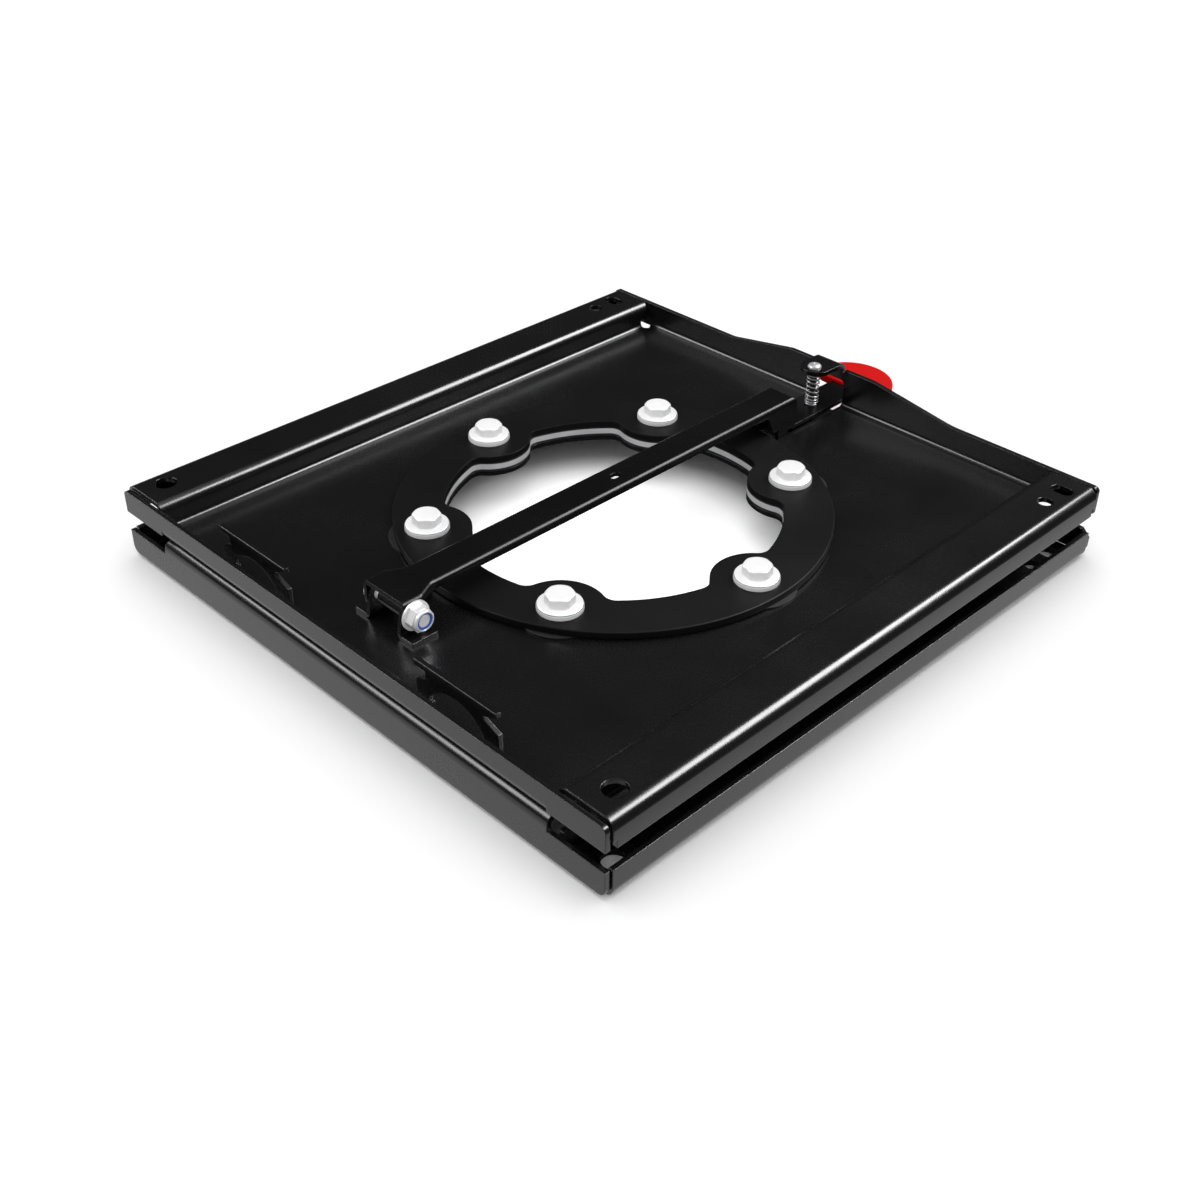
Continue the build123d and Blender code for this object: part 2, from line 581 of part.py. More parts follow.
angle_mid = ANGLE_OUT - ANGLE_SHEET / 2
angles = []
for side in (-1, 1):
    angle_path = [
        (side * ANGLE_FOOT_END, UPPER_WEB_TOP + ANGLE_SHEET / 2), (side * angle_mid, UPPER_WEB_TOP + ANGLE_SHEET / 2),
        (side * angle_mid, PIVOT_Z + ANGLE_EAR_R + PAST),
    ]
    with BuildPart() as pivot_angle:
        with BuildSketch(Plane.XZ.offset(-ANGLE_TO)):
            with BuildLine():
                folded_outline(fold_corners(angle_path, ANGLE_BEND_IN, ANGLE_SHEET))
            make_face()
        extrude(amount=ANGLE_TO - ANGLE_FROM)
        with BuildSketch(Plane.YZ):
            with BuildLine():
                Polyline(
                    (ANGLE_FROM, UPPER_WEB_TOP), (ANGLE_TO, UPPER_WEB_TOP), (ANGLE_TO, UPPER_WEB_TOP + ANGLE_SHEET),
                    (PIVOT_Y + ANGLE_EAR_R, PIVOT_Z), (PIVOT_Y - ANGLE_EAR_R, PIVOT_Z),
                    (ANGLE_FROM, UPPER_WEB_TOP + ANGLE_SHEET), close=True,
                )
            make_face()
            with Locations((PIVOT_Y, PIVOT_Z)):
                Circle(ANGLE_EAR_R)
                Circle(BOLT_R + RUNNING, mode=Mode.SUBTRACT)
        extrude(amount=ANGLE_FOOT_END, both=True, mode=Mode.INTERSECT)
    angles.append(pivot_angle.part)

with BuildPart() as pivot_sleeve:
    with BuildSketch(Plane.YZ.offset(SLEEVE_FROM)):
        with Locations((PIVOT_Y, PIVOT_Z)):
            Circle(SLEEVE_R)
            Circle(BOLT_R + RUNNING, mode=Mode.SUBTRACT)
    extrude(amount=SLEEVE_TO - SLEEVE_FROM)

seat_x = HEAD_HALF + WASHER_GAP
with BuildPart() as pivot_bolt:
    with BuildSketch(Plane.YZ.offset(-seat_x - BOLT_HEAD)):
        with Locations((PIVOT_Y, PIVOT_Z)):
            Circle(BOLT_HEAD_R)
    extrude(amount=BOLT_HEAD)
    chamfer(pivot_bolt.edges().group_by(Axis.X)[0], length=BOLT_TIP)
    with BuildSketch(Plane.YZ.offset(-seat_x)):
        with Locations((PIVOT_Y, PIVOT_Z)):
            Circle(BOLT_R)
    extrude(amount=2 * seat_x + NUT_END - BOLT_TIP)
    chamfer(pivot_bolt.edges().group_by(Axis.X)[-1], length=BOLT_TIP)

with BuildPart() as pivot_nut:
    with BuildSketch(Plane.YZ.offset(seat_x)):
        with Locations((PIVOT_Y, PIVOT_Z)):
            Circle(NUT_FLANGE_R)
    extrude(amount=NUT_FLANGE)
    with BuildSketch(Plane.YZ.offset(seat_x)):
        with Locations((PIVOT_Y, PIVOT_Z)):
            RegularPolygon(NUT_FLATS / 2, 6, major_radius=False)
    extrude(amount=NUT_FLANGE + NUT_HEX)
    with BuildSketch(Plane.YZ.offset(seat_x)):
        with Locations((PIVOT_Y, PIVOT_Z)):
            Circle(NUT_COLLAR_R)
    extrude(amount=NUT_END)
    fillet(pivot_nut.edges().group_by(Axis.X)[-1], radius=NUT_COLLAR_ROUND)
    with BuildSketch(Plane.YZ.offset(seat_x + NUT_END - INSERT_THICK)):
        with Locations((PIVOT_Y, PIVOT_Z)):
            Circle(INSERT_R)
    extrude(amount=INSERT_THICK + PAST, mode=Mode.SUBTRACT)
    with BuildSketch(Plane.YZ.offset(seat_x - PAST)):
        with Locations((PIVOT_Y, PIVOT_Z)):
            Circle(BOLT_R)
    extrude(amount=NUT_END + 2 * PAST, mode=Mode.SUBTRACT)

with BuildPart() as nut_insert:
    with BuildSketch(Plane.YZ.offset(seat_x + NUT_END - INSERT_THICK)):
        with Locations((PIVOT_Y, PIVOT_Z)):
            Circle(INSERT_R)
            Circle(BOLT_R, mode=Mode.SUBTRACT)
    extrude(amount=INSERT_THICK - INSERT_SUNK)

foot_left = [(HOOK_FOOT_LEFT, UPPER_WEB_TOP), (NIB - ARCH_HALF, UPPER_WEB_TOP), (NIB - ARCH_HALF, ARCH_FOOT - NIB)]
foot_left += [(-ARCH_HALF, ARCH_FOOT - NIB), (-ARCH_HALF, ARCH_FOOT)]
foot_right = [(ARCH_HALF, ARCH_FOOT), (ARCH_HALF, ARCH_FOOT - NIB), (ARCH_HALF - NIB, ARCH_FOOT - NIB)]
foot_right += [(ARCH_HALF - NIB, UPPER_WEB_TOP), (HOOK_FOOT_RIGHT, UPPER_WEB_TOP)]
hooks = []
for centre in (-HOOK_X, HOOK_X):
    with BuildPart() as hook:
        with BuildSketch(Plane.XZ.offset(-HOOK_Y - HOOK_SHEET / 2)) as hook_face:
            with BuildLine():
                Polyline(*[(centre + u, z) for u, z in foot_right + HOOK_RIGHT + HOOK_LEFT + foot_left])
                ThreePointArc(
                    (centre - ARCH_HALF, ARCH_FOOT), (centre, ARCH_TOP), (centre + ARCH_HALF, ARCH_FOOT))
            make_face()
            fillet(hook_face.vertices().filter_by_position(Axis.Y, ARCH_TOP - 0.5, ARCH_TOP + 2), radius=HOOK_ROUND)
        extrude(amount=HOOK_SHEET)
    hooks.append(hook.part)

pieces = {
    "lower_tray": lower_tray.part, "lower_slide_ring": lower_slide_ring.part, "spacer_ring": spacer_ring.part,
    "upper_slide_ring": upper_slide_ring.part, "clamp_ring": clamp_ring.part, "upper_tray": upper_tray.part,
    "hook_bracket_left": hooks[0], "hook_bracket_right": hooks[1], "pivot_angle_left": angles[0],
    "pivot_angle_right": angles[1], "pivot_bolt": pivot_bolt.part, "pivot_nut": pivot_nut.part,
    "nut_insert": nut_insert.part, "pivot_sleeve": pivot_sleeve.part, "spring_screw": spring_screw.part,
    "lever": lever.part, "lever_grip": lever_grip.part, "spring": spring.part,
}
for number, rivet in enumerate(rivets, start=1):
    pieces[f"ring_rivet_{number}"] = rivet
for name, piece in pieces.items():
    piece.label = name
    export_step(piece, f"parts/{name}.step")
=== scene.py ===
import json
import math

import bmesh
import bpy
from mathutils import Matrix, Vector


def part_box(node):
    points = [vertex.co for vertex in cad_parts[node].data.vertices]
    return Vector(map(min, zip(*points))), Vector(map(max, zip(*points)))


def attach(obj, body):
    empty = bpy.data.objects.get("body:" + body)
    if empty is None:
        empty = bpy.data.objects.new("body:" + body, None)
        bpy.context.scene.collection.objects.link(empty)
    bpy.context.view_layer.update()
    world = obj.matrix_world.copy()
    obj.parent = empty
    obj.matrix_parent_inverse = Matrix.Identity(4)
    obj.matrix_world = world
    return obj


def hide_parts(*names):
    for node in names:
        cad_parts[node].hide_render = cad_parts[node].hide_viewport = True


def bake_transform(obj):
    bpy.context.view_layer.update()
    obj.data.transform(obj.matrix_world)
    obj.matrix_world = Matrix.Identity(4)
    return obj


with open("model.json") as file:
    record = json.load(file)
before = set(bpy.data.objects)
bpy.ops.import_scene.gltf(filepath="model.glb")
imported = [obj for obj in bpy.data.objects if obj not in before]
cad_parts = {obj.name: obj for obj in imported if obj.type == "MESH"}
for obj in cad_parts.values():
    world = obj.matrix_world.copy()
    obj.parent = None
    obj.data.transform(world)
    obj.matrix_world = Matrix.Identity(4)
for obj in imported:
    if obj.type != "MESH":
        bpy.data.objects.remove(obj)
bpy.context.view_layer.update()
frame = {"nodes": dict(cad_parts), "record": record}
nodes = frame["nodes"]
mm = 0.001  # the scene is in metres

view = bpy.context.scene.view_settings
view.view_transform = "Standard"
view.look = "None"


# Materials

bevelSamples = 6


def newMaterial(name):
    material = bpy.data.materials.new(name)
    material.use_nodes = True
    tree = material.node_tree
    shader = tree.nodes["Principled BSDF"]
    coords = tree.nodes.new("ShaderNodeTexCoord").outputs["Object"]
    return material, tree, shader, coords


def noiseOf(tree, coords, scale, detail):
    noise = tree.nodes.new("ShaderNodeTexNoise")
    noise.inputs["Scale"].default_value = scale
    noise.inputs["Detail"].default_value = detail
    tree.links.new(coords, noise.inputs["Vector"])
    return noise.outputs["Fac"]


def rangeOf(tree, source, low, high, fromLow=0.3, fromHigh=0.7):
    ranged = tree.nodes.new("ShaderNodeMapRange")
    ranged.inputs["From Min"].default_value = fromLow
    ranged.inputs["From Max"].default_value = fromHigh
    ranged.inputs["To Min"].default_value = low
    ranged.inputs["To Max"].default_value = high
    tree.links.new(source, ranged.inputs["Value"])
    return ranged.outputs["Result"]


def mathOf(tree, operation, first, second=0.0):
    node = tree.nodes.new("ShaderNodeMath")
    node.operation = operation
    for socket, value in zip(node.inputs, (first, second)):
        if isinstance(value, (int, float)):
            socket.default_value = value
        else:
            tree.links.new(value, socket)
    return node.outputs[0]


def mixOf(tree, factor, first, second):
    mix = tree.nodes.new("ShaderNodeMix")
    mix.data_type = "RGBA"
    mix.inputs[6].default_value = first + (1.0,)
    mix.inputs[7].default_value = second + (1.0,)
    tree.links.new(factor, mix.inputs[0])
    return mix.outputs[2]


def bumpOf(tree, height, distance, strength, normal):
    bump = tree.nodes.new("ShaderNodeBump")
    bump.inputs["Distance"].default_value = distance
    bump.inputs["Strength"].default_value = strength
    tree.links.new(height, bump.inputs["Height"])
    tree.links.new(normal, bump.inputs["Normal"])
    return bump.outputs["Normal"]


def softEdge(tree, radius):
    bevel = tree.nodes.new("ShaderNodeBevel")
    bevel.samples = bevelSamples
    bevel.inputs["Radius"].default_value = radius
    return bevel.outputs["Normal"]


coatLook = {
    "dark": (0.0035, 0.0035, 0.0037),
    "dusty": (0.0055, 0.0055, 0.0058),
    "roughness": (0.2, 0.27),
    "speckRoughness": (-0.02, 0.04),  # what the specks add to it
    "specular": 0.5,
    "cloudScale": 14.0,
    "cloudDetail": 5.0,
    "speckScale": 1520.0,
    "peelScale": 950.0,
    "peelDetail": 2.0,
    "peelDepth": 0.03 * mm,
    "peelStrength": 0.35,
    "edgeRound": 0.8 * mm,
}
leverLook = dict(coatLook, specular=0.16)
ringLook = dict(coatLook, roughness=(0.4, 0.48), specular=0.14)


def powderCoat(name, look):
    material, tree, shader, coords = newMaterial(name)
    clouds = noiseOf(tree, coords, look["cloudScale"], look["cloudDetail"])
    specks = noiseOf(tree, coords, look["speckScale"], look["peelDetail"])
    peel = noiseOf(tree, coords, look["peelScale"], look["peelDetail"])
    colour = mixOf(tree, rangeOf(tree, clouds, 0.0, 1.0), look["dark"], look["dusty"])
    tree.links.new(colour, shader.inputs["Base Color"])
    roughness = mathOf(tree, "ADD", rangeOf(tree, clouds, *look["roughness"]),
                       rangeOf(tree, specks, *look["speckRoughness"]))
    tree.links.new(roughness, shader.inputs["Roughness"])
    edges = softEdge(tree, look["edgeRound"])
    normal = bumpOf(tree, peel, look["peelDepth"], look["peelStrength"], edges)
    tree.links.new(normal, shader.inputs["Normal"])
    shader.inputs["Specular IOR Level"].default_value = look["specular"]
    return material


def plated(name, look):
    material, tree, shader, coords = newMaterial(name)
    stains = noiseOf(tree, coords, look["stainScale"], look["stainDetail"])
    grain = noiseOf(tree, coords, look["grainScale"], look["grainDetail"])
    colour = mixOf(tree, rangeOf(tree, stains, 0.0, 1.0), look["bright"], look["dull"])
    tree.links.new(colour, shader.inputs["Base Color"])
    tree.links.new(rangeOf(tree, grain, *look["roughness"]), shader.inputs["Roughness"])
    edges = softEdge(tree, look["edgeRound"])
    normal = bumpOf(tree, grain, look["grainDepth"], look["grainStrength"], edges)
    tree.links.new(normal, shader.inputs["Normal"])
    shader.inputs["Metallic"].default_value = look["metallic"]
    return material


def moulded(name, look):
    material, tree, shader, coords = newMaterial(name)
    clouds = noiseOf(tree, coords, look["cloudScale"], look["cloudDetail"])
    grain = noiseOf(tree, coords, look["grainScale"], look["grainDetail"])
    colour = mixOf(tree, rangeOf(tree, clouds, 0.0, 1.0), look["light"], look["dark"])
    tree.links.new(colour, shader.inputs["Base Color"])
    tree.links.new(rangeOf(tree, grain, *look["roughness"]), shader.inputs["Roughness"])
    edges = softEdge(tree, look["edgeRound"])
    normal = bumpOf(tree, grain, look["grainDepth"], look["grainStrength"], edges)
    tree.links.new(normal, shader.inputs["Normal"])
    shader.inputs["Specular IOR Level"].default_value = look["specular"]
    return material


zincLook = {
    "bright": (0.93, 0.93, 0.94),
    "dull": (0.86, 0.86, 0.87),
    "metallic": 0.35,
    "roughness": (0.3, 0.42),
    "stainScale": 60.0,
    "stainDetail": 4.0,
    "grainScale": 500.0,
    "grainDetail": 3.0,
    "grainDepth": 0.02 * mm,
    "grainStrength": 0.4,
    "edgeRound": 0.3 * mm,
}
rivetZincLook = dict(
    zincLook, bright=(0.97, 0.97, 0.97), dull=(0.9, 0.9, 0.91), metallic=0.1,
    grainScale=420.0, grainDepth=0.03 * mm)
spacerLook = dict(
    zincLook, bright=(0.6, 0.6, 0.61), dull=(0.5, 0.5, 0.51), metallic=0.3,
    roughness=(0.34, 0.48), grainScale=700.0)
wireLook = dict(
    zincLook, bright=(0.5, 0.5, 0.51), dull=(0.4, 0.4, 0.41), metallic=0.5,
    roughness=(0.2, 0.3), grainScale=900.0, grainDepth=0.01 * mm, edgeRound=0.1 * mm)

slideLook = {
    "light": (0.012, 0.012, 0.013),
    "dark": (0.008, 0.008, 0.009),
    "roughness": (0.42, 0.55),
    "specular": 0.5,
    "cloudScale": 40.0,
    "cloudDetail": 4.0,
    "grainScale": 800.0,
    "grainDetail": 2.0,
    "grainDepth": 0.02 * mm,
    "grainStrength": 0.3,
    "edgeRound": 0.2 * mm,
}
redLook = dict(
    slideLook, light=(0.66, 0.003, 0.002), dark=(0.6, 0.002, 0.002), roughness=(0.36, 0.46),
    specular=0.05, grainScale=900.0, edgeRound=0.8 * mm)
insertLook = dict(
    slideLook, light=(0.03, 0.13, 0.55), dark=(0.025, 0.1, 0.45), roughness=(0.3, 0.42),
    grainScale=700.0)

blackCoat = powderCoat("blackCoat", coatLook)
leverCoat = powderCoat("leverCoat", leverLook)
ringCoat = powderCoat("ringCoat", ringLook)
brightZinc = plated("brightZinc", zincLook)
rivetZinc = plated("rivetZinc", rivetZincLook)
greyZinc = plated("greyZinc", spacerLook)
springWire = plated("springWire", wireLook)
slidePlastic = moulded("slidePlastic", slideLook)
redPlastic = moulded("redPlastic", redLook)
blueNylon = moulded("blueNylon", insertLook)

finishes = {
    "black_coat": blackCoat,
    "bright_zinc": brightZinc,
    "grey_zinc": greyZinc,
    "spring_steel": springWire,
    "slide_plastic": slidePlastic,
    "red_grip": redPlastic,
    "blue_nylon": blueNylon,
}
ownFinishes = {"lever": leverCoat, "clamp_ring": ringCoat}  # duller than the trays
for part in frame["record"]["subparts"]:
    cadNode = nodes[part["node"]]
    cadNode.data.materials.clear()
    cadNode.data.materials.append(ownFinishes.get(part["node"], finishes[part["material_slot"]]))
print("materials on", len(nodes), "CAD nodes")


# Rivets, spring, screw and grip

cornerSteps = 4


def newTree(name, inputs):
    tree = bpy.data.node_groups.new(name, "GeometryNodeTree")
    tree.interface.new_socket("Geometry", in_out="OUTPUT", socket_type="NodeSocketGeometry")
    for label, kind in inputs:
        tree.interface.new_socket(label, in_out="INPUT", socket_type="NodeSocket" + kind)
    return tree, tree.nodes.new("NodeGroupInput"), tree.nodes.new("NodeGroupOutput")


def finishTree(tree, geometry, given, out):
    realize = tree.nodes.new("GeometryNodeRealizeInstances")
    paint = tree.nodes.new("GeometryNodeSetMaterial")
    tree.links.new(geometry, realize.inputs["Geometry"])
    tree.links.new(realize.outputs["Geometry"], paint.inputs["Geometry"])
    tree.links.new(given.outputs["Material"], paint.inputs["Material"])
    tree.links.new(paint.outputs["Geometry"], out.inputs["Geometry"])


def grow(name, tree, values):
    host = bpy.data.objects.new(name + "Host", bpy.data.meshes.new(name + "Host"))
    bpy.context.collection.objects.link(host)
    modifier = host.modifiers.new(name, "NODES")
    modifier.node_group = tree
    sockets = {item.name: item.identifier for item in tree.interface.items_tree
               if item.in_out == "INPUT"}
    for label, value in values.items():
        modifier[sockets[label]] = value
    bpy.context.view_layer.update()
    grown = host.evaluated_get(bpy.context.evaluated_depsgraph_get())
    mesh = bpy.data.meshes.new_from_object(grown)
    bpy.data.objects.remove(host)
    mesh.name = name
    piece = bpy.data.objects.new(name, mesh)
    bpy.context.collection.objects.link(piece)
    return piece


def roundedProfile(points):
    # each point is radius, height and how much its corner is rounded
    line = [Vector(points[0][:2])]
    for before, here, after in zip(points, points[1:], points[2:]):
        corner, rounding = Vector(here[:2]), here[2]
        if rounding == 0:
            line.append(corner)
            continue
        start = corner + (Vector(before[:2]) - corner).normalized() * rounding
        end = corner + (Vector(after[:2]) - corner).normalized() * rounding
        for i in range(cornerSteps + 1):
            t = i / cornerSteps
            line.append(start * (1 - t) ** 2 + corner * 2 * t * (1 - t) + end * t ** 2)
    line.append(Vector(points[-1][:2]))
    return line


def closedShape(name, rings, sharpAngle=None):
    shape = bmesh.new()
    layers = [[shape.verts.new(point) for point in ring] for ring in rings]
    for below, above in zip(layers, layers[1:]):
        if len(below) == 1 or len(above) == 1:
            tip, rim = (below, above) if len(below) == 1 else (above, below)
            for i in range(len(rim)):
                shape.faces.new((tip[0], rim[i], rim[(i + 1) % len(rim)]))
            continue
        for i in range(len(below)):
            j = (i + 1) % len(below)
            shape.faces.new((below[i], below[j], above[j], above[i]))
    bmesh.ops.recalc_face_normals(shape, faces=shape.faces)
    for face in shape.faces:
        face.smooth = True
    mesh = bpy.data.meshes.new(name)
    shape.to_mesh(mesh)
    shape.free()
    if sharpAngle:
        mesh.set_sharp_from_angle(angle=sharpAngle)
    piece = bpy.data.objects.new(name, mesh)
    bpy.context.collection.objects.link(piece)
    return piece


def roundRing(radius, height, steps, centre=(0, 0)):
    if radius == 0:
        return [(centre[0], centre[1], height)]
    ring = []
    for i in range(steps):
        turn = math.tau * i / steps
        ring.append((centre[0] + radius * math.cos(turn), centre[1] + radius * math.sin(turn), height))
    return ring


rivetLook = {
    "circleRadius": 110.5 * mm,
    "count": 6,
    "seed": 3,
    "turn": (math.radians(12), math.radians(18)),  # one flat looks at the camera
    "steps": 96,
    "sharpAngle": math.radians(35),
    "webThickness": 3.0 * mm,
    # the soft hexagon, in millimetres, with heights above the clamp ring
    "flat": 7.9,  # half its width over the flats
    "cornerCut": 1.07,  # how far a corner reaches, as a share of the flat
    "top": 9.7,
    "topRing": [(6.3, 0), (6.8, 0.08), (7.2, 0.26)],  # radius and drop of the top's round edge
    "chamferFrom": 6.9,
    "chamferSlope": 0.55,
    "edge": 0.25,
    "foot": 3.9,
    "footRise": 0.5,
    "footFlare": 0.3,
    # flange under the head: radius, height above the clamp ring, rounding
    "flange": [(8.6, 3.9, 0), (12.3, 3.2, 0.7), (13.0, 2.5, 0.6), (13.0, 0, 0.1), (6.0, 0, 0)],
    # tail: radius, height above the underside of the lower web, rounding
    "tail": [(6.0, 0, 0), (9.5, 0, 0.1), (8.9, -2.4, 0.7), (7.3, -3.2, 0.7), (0, -3.2, 0)],
}


def hexRing(look, inset, height):
    ring = []
    for i in range(look["steps"]):
        angle = math.tau * i / look["steps"]
        fromFlat = (angle + math.pi / 6) % (math.pi / 3) - math.pi / 6
        flatReach = (look["flat"] - inset) / math.cos(fromFlat)
        reach = min(flatReach, look["flat"] * look["cornerCut"] - inset)
        level = height(reach) if callable(height) else height
        ring.append((reach * math.cos(angle) * mm, reach * math.sin(angle) * mm, level))
    return ring


def rivetShape(look):
    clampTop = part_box("clamp_ring")[1].z
    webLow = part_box("lower_tray")[1].z - look["webThickness"]
    steps = look["steps"]

    def chamfer(reach):
        return clampTop + (look["top"] - max(reach - look["chamferFrom"], 0) * look["chamferSlope"]) * mm

    rings = [roundRing(0, clampTop + look["top"] * mm, steps)]
    rings += [roundRing(r * mm, clampTop + (look["top"] - drop) * mm, steps)
              for r, drop in look["topRing"]]
    rings += [hexRing(look, look["edge"], chamfer),
              hexRing(look, 0, lambda reach: chamfer(reach) - look["edge"] * mm),
              hexRing(look, 0, clampTop + (look["foot"] + look["footRise"]) * mm),
              hexRing(look, -look["footFlare"], clampTop + look["foot"] * mm)]
    points = [(r * mm, clampTop + h * mm, c * mm) for r, h, c in look["flange"]]
    points += [(r * mm, webLow + h * mm, c * mm) for r, h, c in look["tail"]]
    rings += [roundRing(point.x, point.y, steps) for point in roundedProfile(points)[1:]]
    return closedShape("rivetShape", rings, look["sharpAngle"])


def ringRivets(look):
    rivet = rivetShape(look)
    tree, given, out = newTree("ringRivets", [
        ("Rivet", "Object"), ("Count", "Int"), ("Circle radius", "Float"), ("Least turn", "Float"),
        ("Most turn", "Float"), ("Seed", "Int"), ("Material", "Material")])
    circle = tree.nodes.new("GeometryNodeMeshCircle")
    shape = tree.nodes.new("GeometryNodeObjectInfo")
    place = tree.nodes.new("GeometryNodeInstanceOnPoints")
    turn = tree.nodes.new("FunctionNodeRandomValue")
    spin = tree.nodes.new("ShaderNodeCombineXYZ")
    tree.links.new(given.outputs["Count"], circle.inputs["Vertices"])
    tree.links.new(given.outputs["Circle radius"], circle.inputs["Radius"])
    tree.links.new(given.outputs["Rivet"], shape.inputs["Object"])
    tree.links.new(given.outputs["Seed"], turn.inputs["Seed"])
    tree.links.new(given.outputs["Least turn"], turn.inputs[2])
    tree.links.new(given.outputs["Most turn"], turn.inputs[3])
    tree.links.new(turn.outputs[1], spin.inputs["Z"])
    tree.links.new(circle.outputs["Mesh"], place.inputs["Points"])
    tree.links.new(shape.outputs["Geometry"], place.inputs["Instance"])
    tree.links.new(spin.outputs[0], place.inputs["Rotation"])
    finishTree(tree, place.outputs["Instances"], given, out)

    rivets = grow("ringRivets", tree, {
        "Rivet": rivet, "Count": look["count"], "Circle radius": look["circleRadius"],
        "Least turn": look["turn"][0], "Most turn": look["turn"][1], "Seed": look["seed"],
        "Material": rivetZinc})
    bpy.data.objects.remove(rivet)
    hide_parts(*["ring_rivet_%d" % (i + 1) for i in range(look["count"])])
    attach(rivets, "base")


springLook = {
    "wire": 0.48 * mm,  # radius of the wire
    "coil": 4.0 * mm,  # radius of the coil
    "turns": 9.5,
    "closed": 0.42,  # how far the end coils close up, 0 to 1
    "stepsPerTurn": 36,
    "wireSteps": 12,
}


def leverSpring(look):
    low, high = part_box("spring")
    tree, given, out = newTree("leverSpring", [
        ("Turns", "Float"), ("Coil radius", "Float"), ("Wire radius", "Float"), ("Height", "Float"),
        ("Closed", "Float"), ("Foot", "Vector"), ("Material", "Material")])
    spiral = tree.nodes.new("GeometryNodeCurveSpiral")
    spiral.inputs["Resolution"].default_value = look["stepsPerTurn"]
    tree.links.new(given.outputs["Turns"], spiral.inputs["Rotations"])
    tree.links.new(given.outputs["Coil radius"], spiral.inputs["Start Radius"])
    tree.links.new(given.outputs["Coil radius"], spiral.inputs["End Radius"])
    tree.links.new(given.outputs["Height"], spiral.inputs["Height"])
    # one sine wave over the height draws the end coils together
    along = tree.nodes.new("GeometryNodeSplineParameter").outputs["Factor"]
    wave = mathOf(tree, "SINE", mathOf(tree, "MULTIPLY", along, math.tau))
    pull = mathOf(tree, "MULTIPLY", mathOf(tree, "MULTIPLY", wave, given.outputs["Closed"]),
                  given.outputs["Height"])
    offset = tree.nodes.new("ShaderNodeCombineXYZ")
    tree.links.new(mathOf(tree, "MULTIPLY", pull, -1 / math.tau), offset.inputs["Z"])
    closeUp = tree.nodes.new("GeometryNodeSetPosition")
    tree.links.new(spiral.outputs["Curve"], closeUp.inputs["Geometry"])
    tree.links.new(offset.outputs[0], closeUp.inputs["Offset"])
    section = tree.nodes.new("GeometryNodeCurvePrimitiveCircle")
    section.inputs["Resolution"].default_value = look["wireSteps"]
    tree.links.new(given.outputs["Wire radius"], section.inputs["Radius"])
    wire = tree.nodes.new("GeometryNodeCurveToMesh")
    wire.inputs["Fill Caps"].default_value = True
    tree.links.new(closeUp.outputs["Geometry"], wire.inputs["Curve"])
    tree.links.new(section.outputs["Curve"], wire.inputs["Profile Curve"])
    move = tree.nodes.new("GeometryNodeTransform")
    tree.links.new(wire.outputs["Mesh"], move.inputs["Geometry"])
    tree.links.new(given.outputs["Foot"], move.inputs["Translation"])
    finishTree(tree, move.outputs["Geometry"], given, out)

    spring = grow("leverSpring", tree, {
        "Turns": look["turns"], "Coil radius": look["coil"], "Wire radius": look["wire"],
        "Height": high.z - low.z - 2 * look["wire"], "Closed": look["closed"],
        "Foot": ((low.x + high.x) / 2, (low.y + high.y) / 2, low.z + look["wire"]),
        "Material": springWire})
    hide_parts("spring")
    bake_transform(spring)


screwLook = {
    "steps": 48,
    "sharpAngle": math.radians(50),
    "headColour": (0.5, 0.5, 0.52),
    # the shank below the tab is painted dark: painted shade under the tab
    "shankPaintedShade": (0.03, 0.03, 0.031),
    "paintedShadeFade": 1.0 * mm,  # how far below the tab's top the head's colour ends and the painted shade of the shank begins
    "metallic": 0.5,
    "roughness": (0.3, 0.42),
    "grainScale": 900.0,
    "grainDetail": 3.0,
    "grainDepth": 0.02 * mm,
    "grainStrength": 0.4,
    "edgeRound": 0.2 * mm,
    # radius, height above the tab, rounding, in millimetres
    "head": [(0, 1.7, 0), (0.5, 1.7, 0.1), (0.9, 2.3, 0.2), (2.4, 2.2, 1.0), (4.2, 1.2, 0.9),
             (4.6, 0, 0.1), (2.0, 0, 0)],
    # radius, height from the tip, rounding
    "shank": [(2.0, 1.0, 0.2), (1.2, 0, 0.1), (0, 0, 0)],
}


def screwZinc(look, tabTop):
    material, tree, shader, coords = newMaterial("screwZinc")
    height = tree.nodes.new("ShaderNodeSeparateXYZ")
    tree.links.new(coords, height.inputs[0])
    grain = noiseOf(tree, coords, look["grainScale"], look["grainDetail"])
    # painted shade: below the tab's top the screw turns dark
    above = rangeOf(tree, height.outputs["Z"], 0.0, 1.0, tabTop - look["paintedShadeFade"], tabTop)
    colour = mixOf(tree, above, look["shankPaintedShade"], look["headColour"])
    tree.links.new(colour, shader.inputs["Base Color"])
    tree.links.new(rangeOf(tree, grain, *look["roughness"]), shader.inputs["Roughness"])
    edges = softEdge(tree, look["edgeRound"])
    normal = bumpOf(tree, grain, look["grainDepth"], look["grainStrength"], edges)
    tree.links.new(normal, shader.inputs["Normal"])
    shader.inputs["Metallic"].default_value = look["metallic"]
    return material


def springScrew(look):
    low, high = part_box("spring_screw")
    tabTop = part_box("upper_tray")[1].z
    centre = ((low.x + high.x) / 2, (low.y + high.y) / 2)
    points = [(r * mm, tabTop + h * mm, c * mm) for r, h, c in look["head"]]
    points += [(r * mm, low.z + h * mm, c * mm) for r, h, c in look["shank"]]
    rings = [roundRing(point.x, point.y, look["steps"], centre) for point in roundedProfile(points)]
    screw = closedShape("springScrew", rings, look["sharpAngle"])
    screw.data.materials.append(screwZinc(look, tabTop))
    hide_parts("spring_screw")
    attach(screw, "seat_side")


gripLook = {
    # millimetres: the round back, the straight front and the corners between them
    "radius": 28.2,
    "centre": 226.5,
    "front": 220.5,
    "corner": 10.0,
    "edge": 1.6,
    "edgeSteps": 5,
    "steps": 120,
}


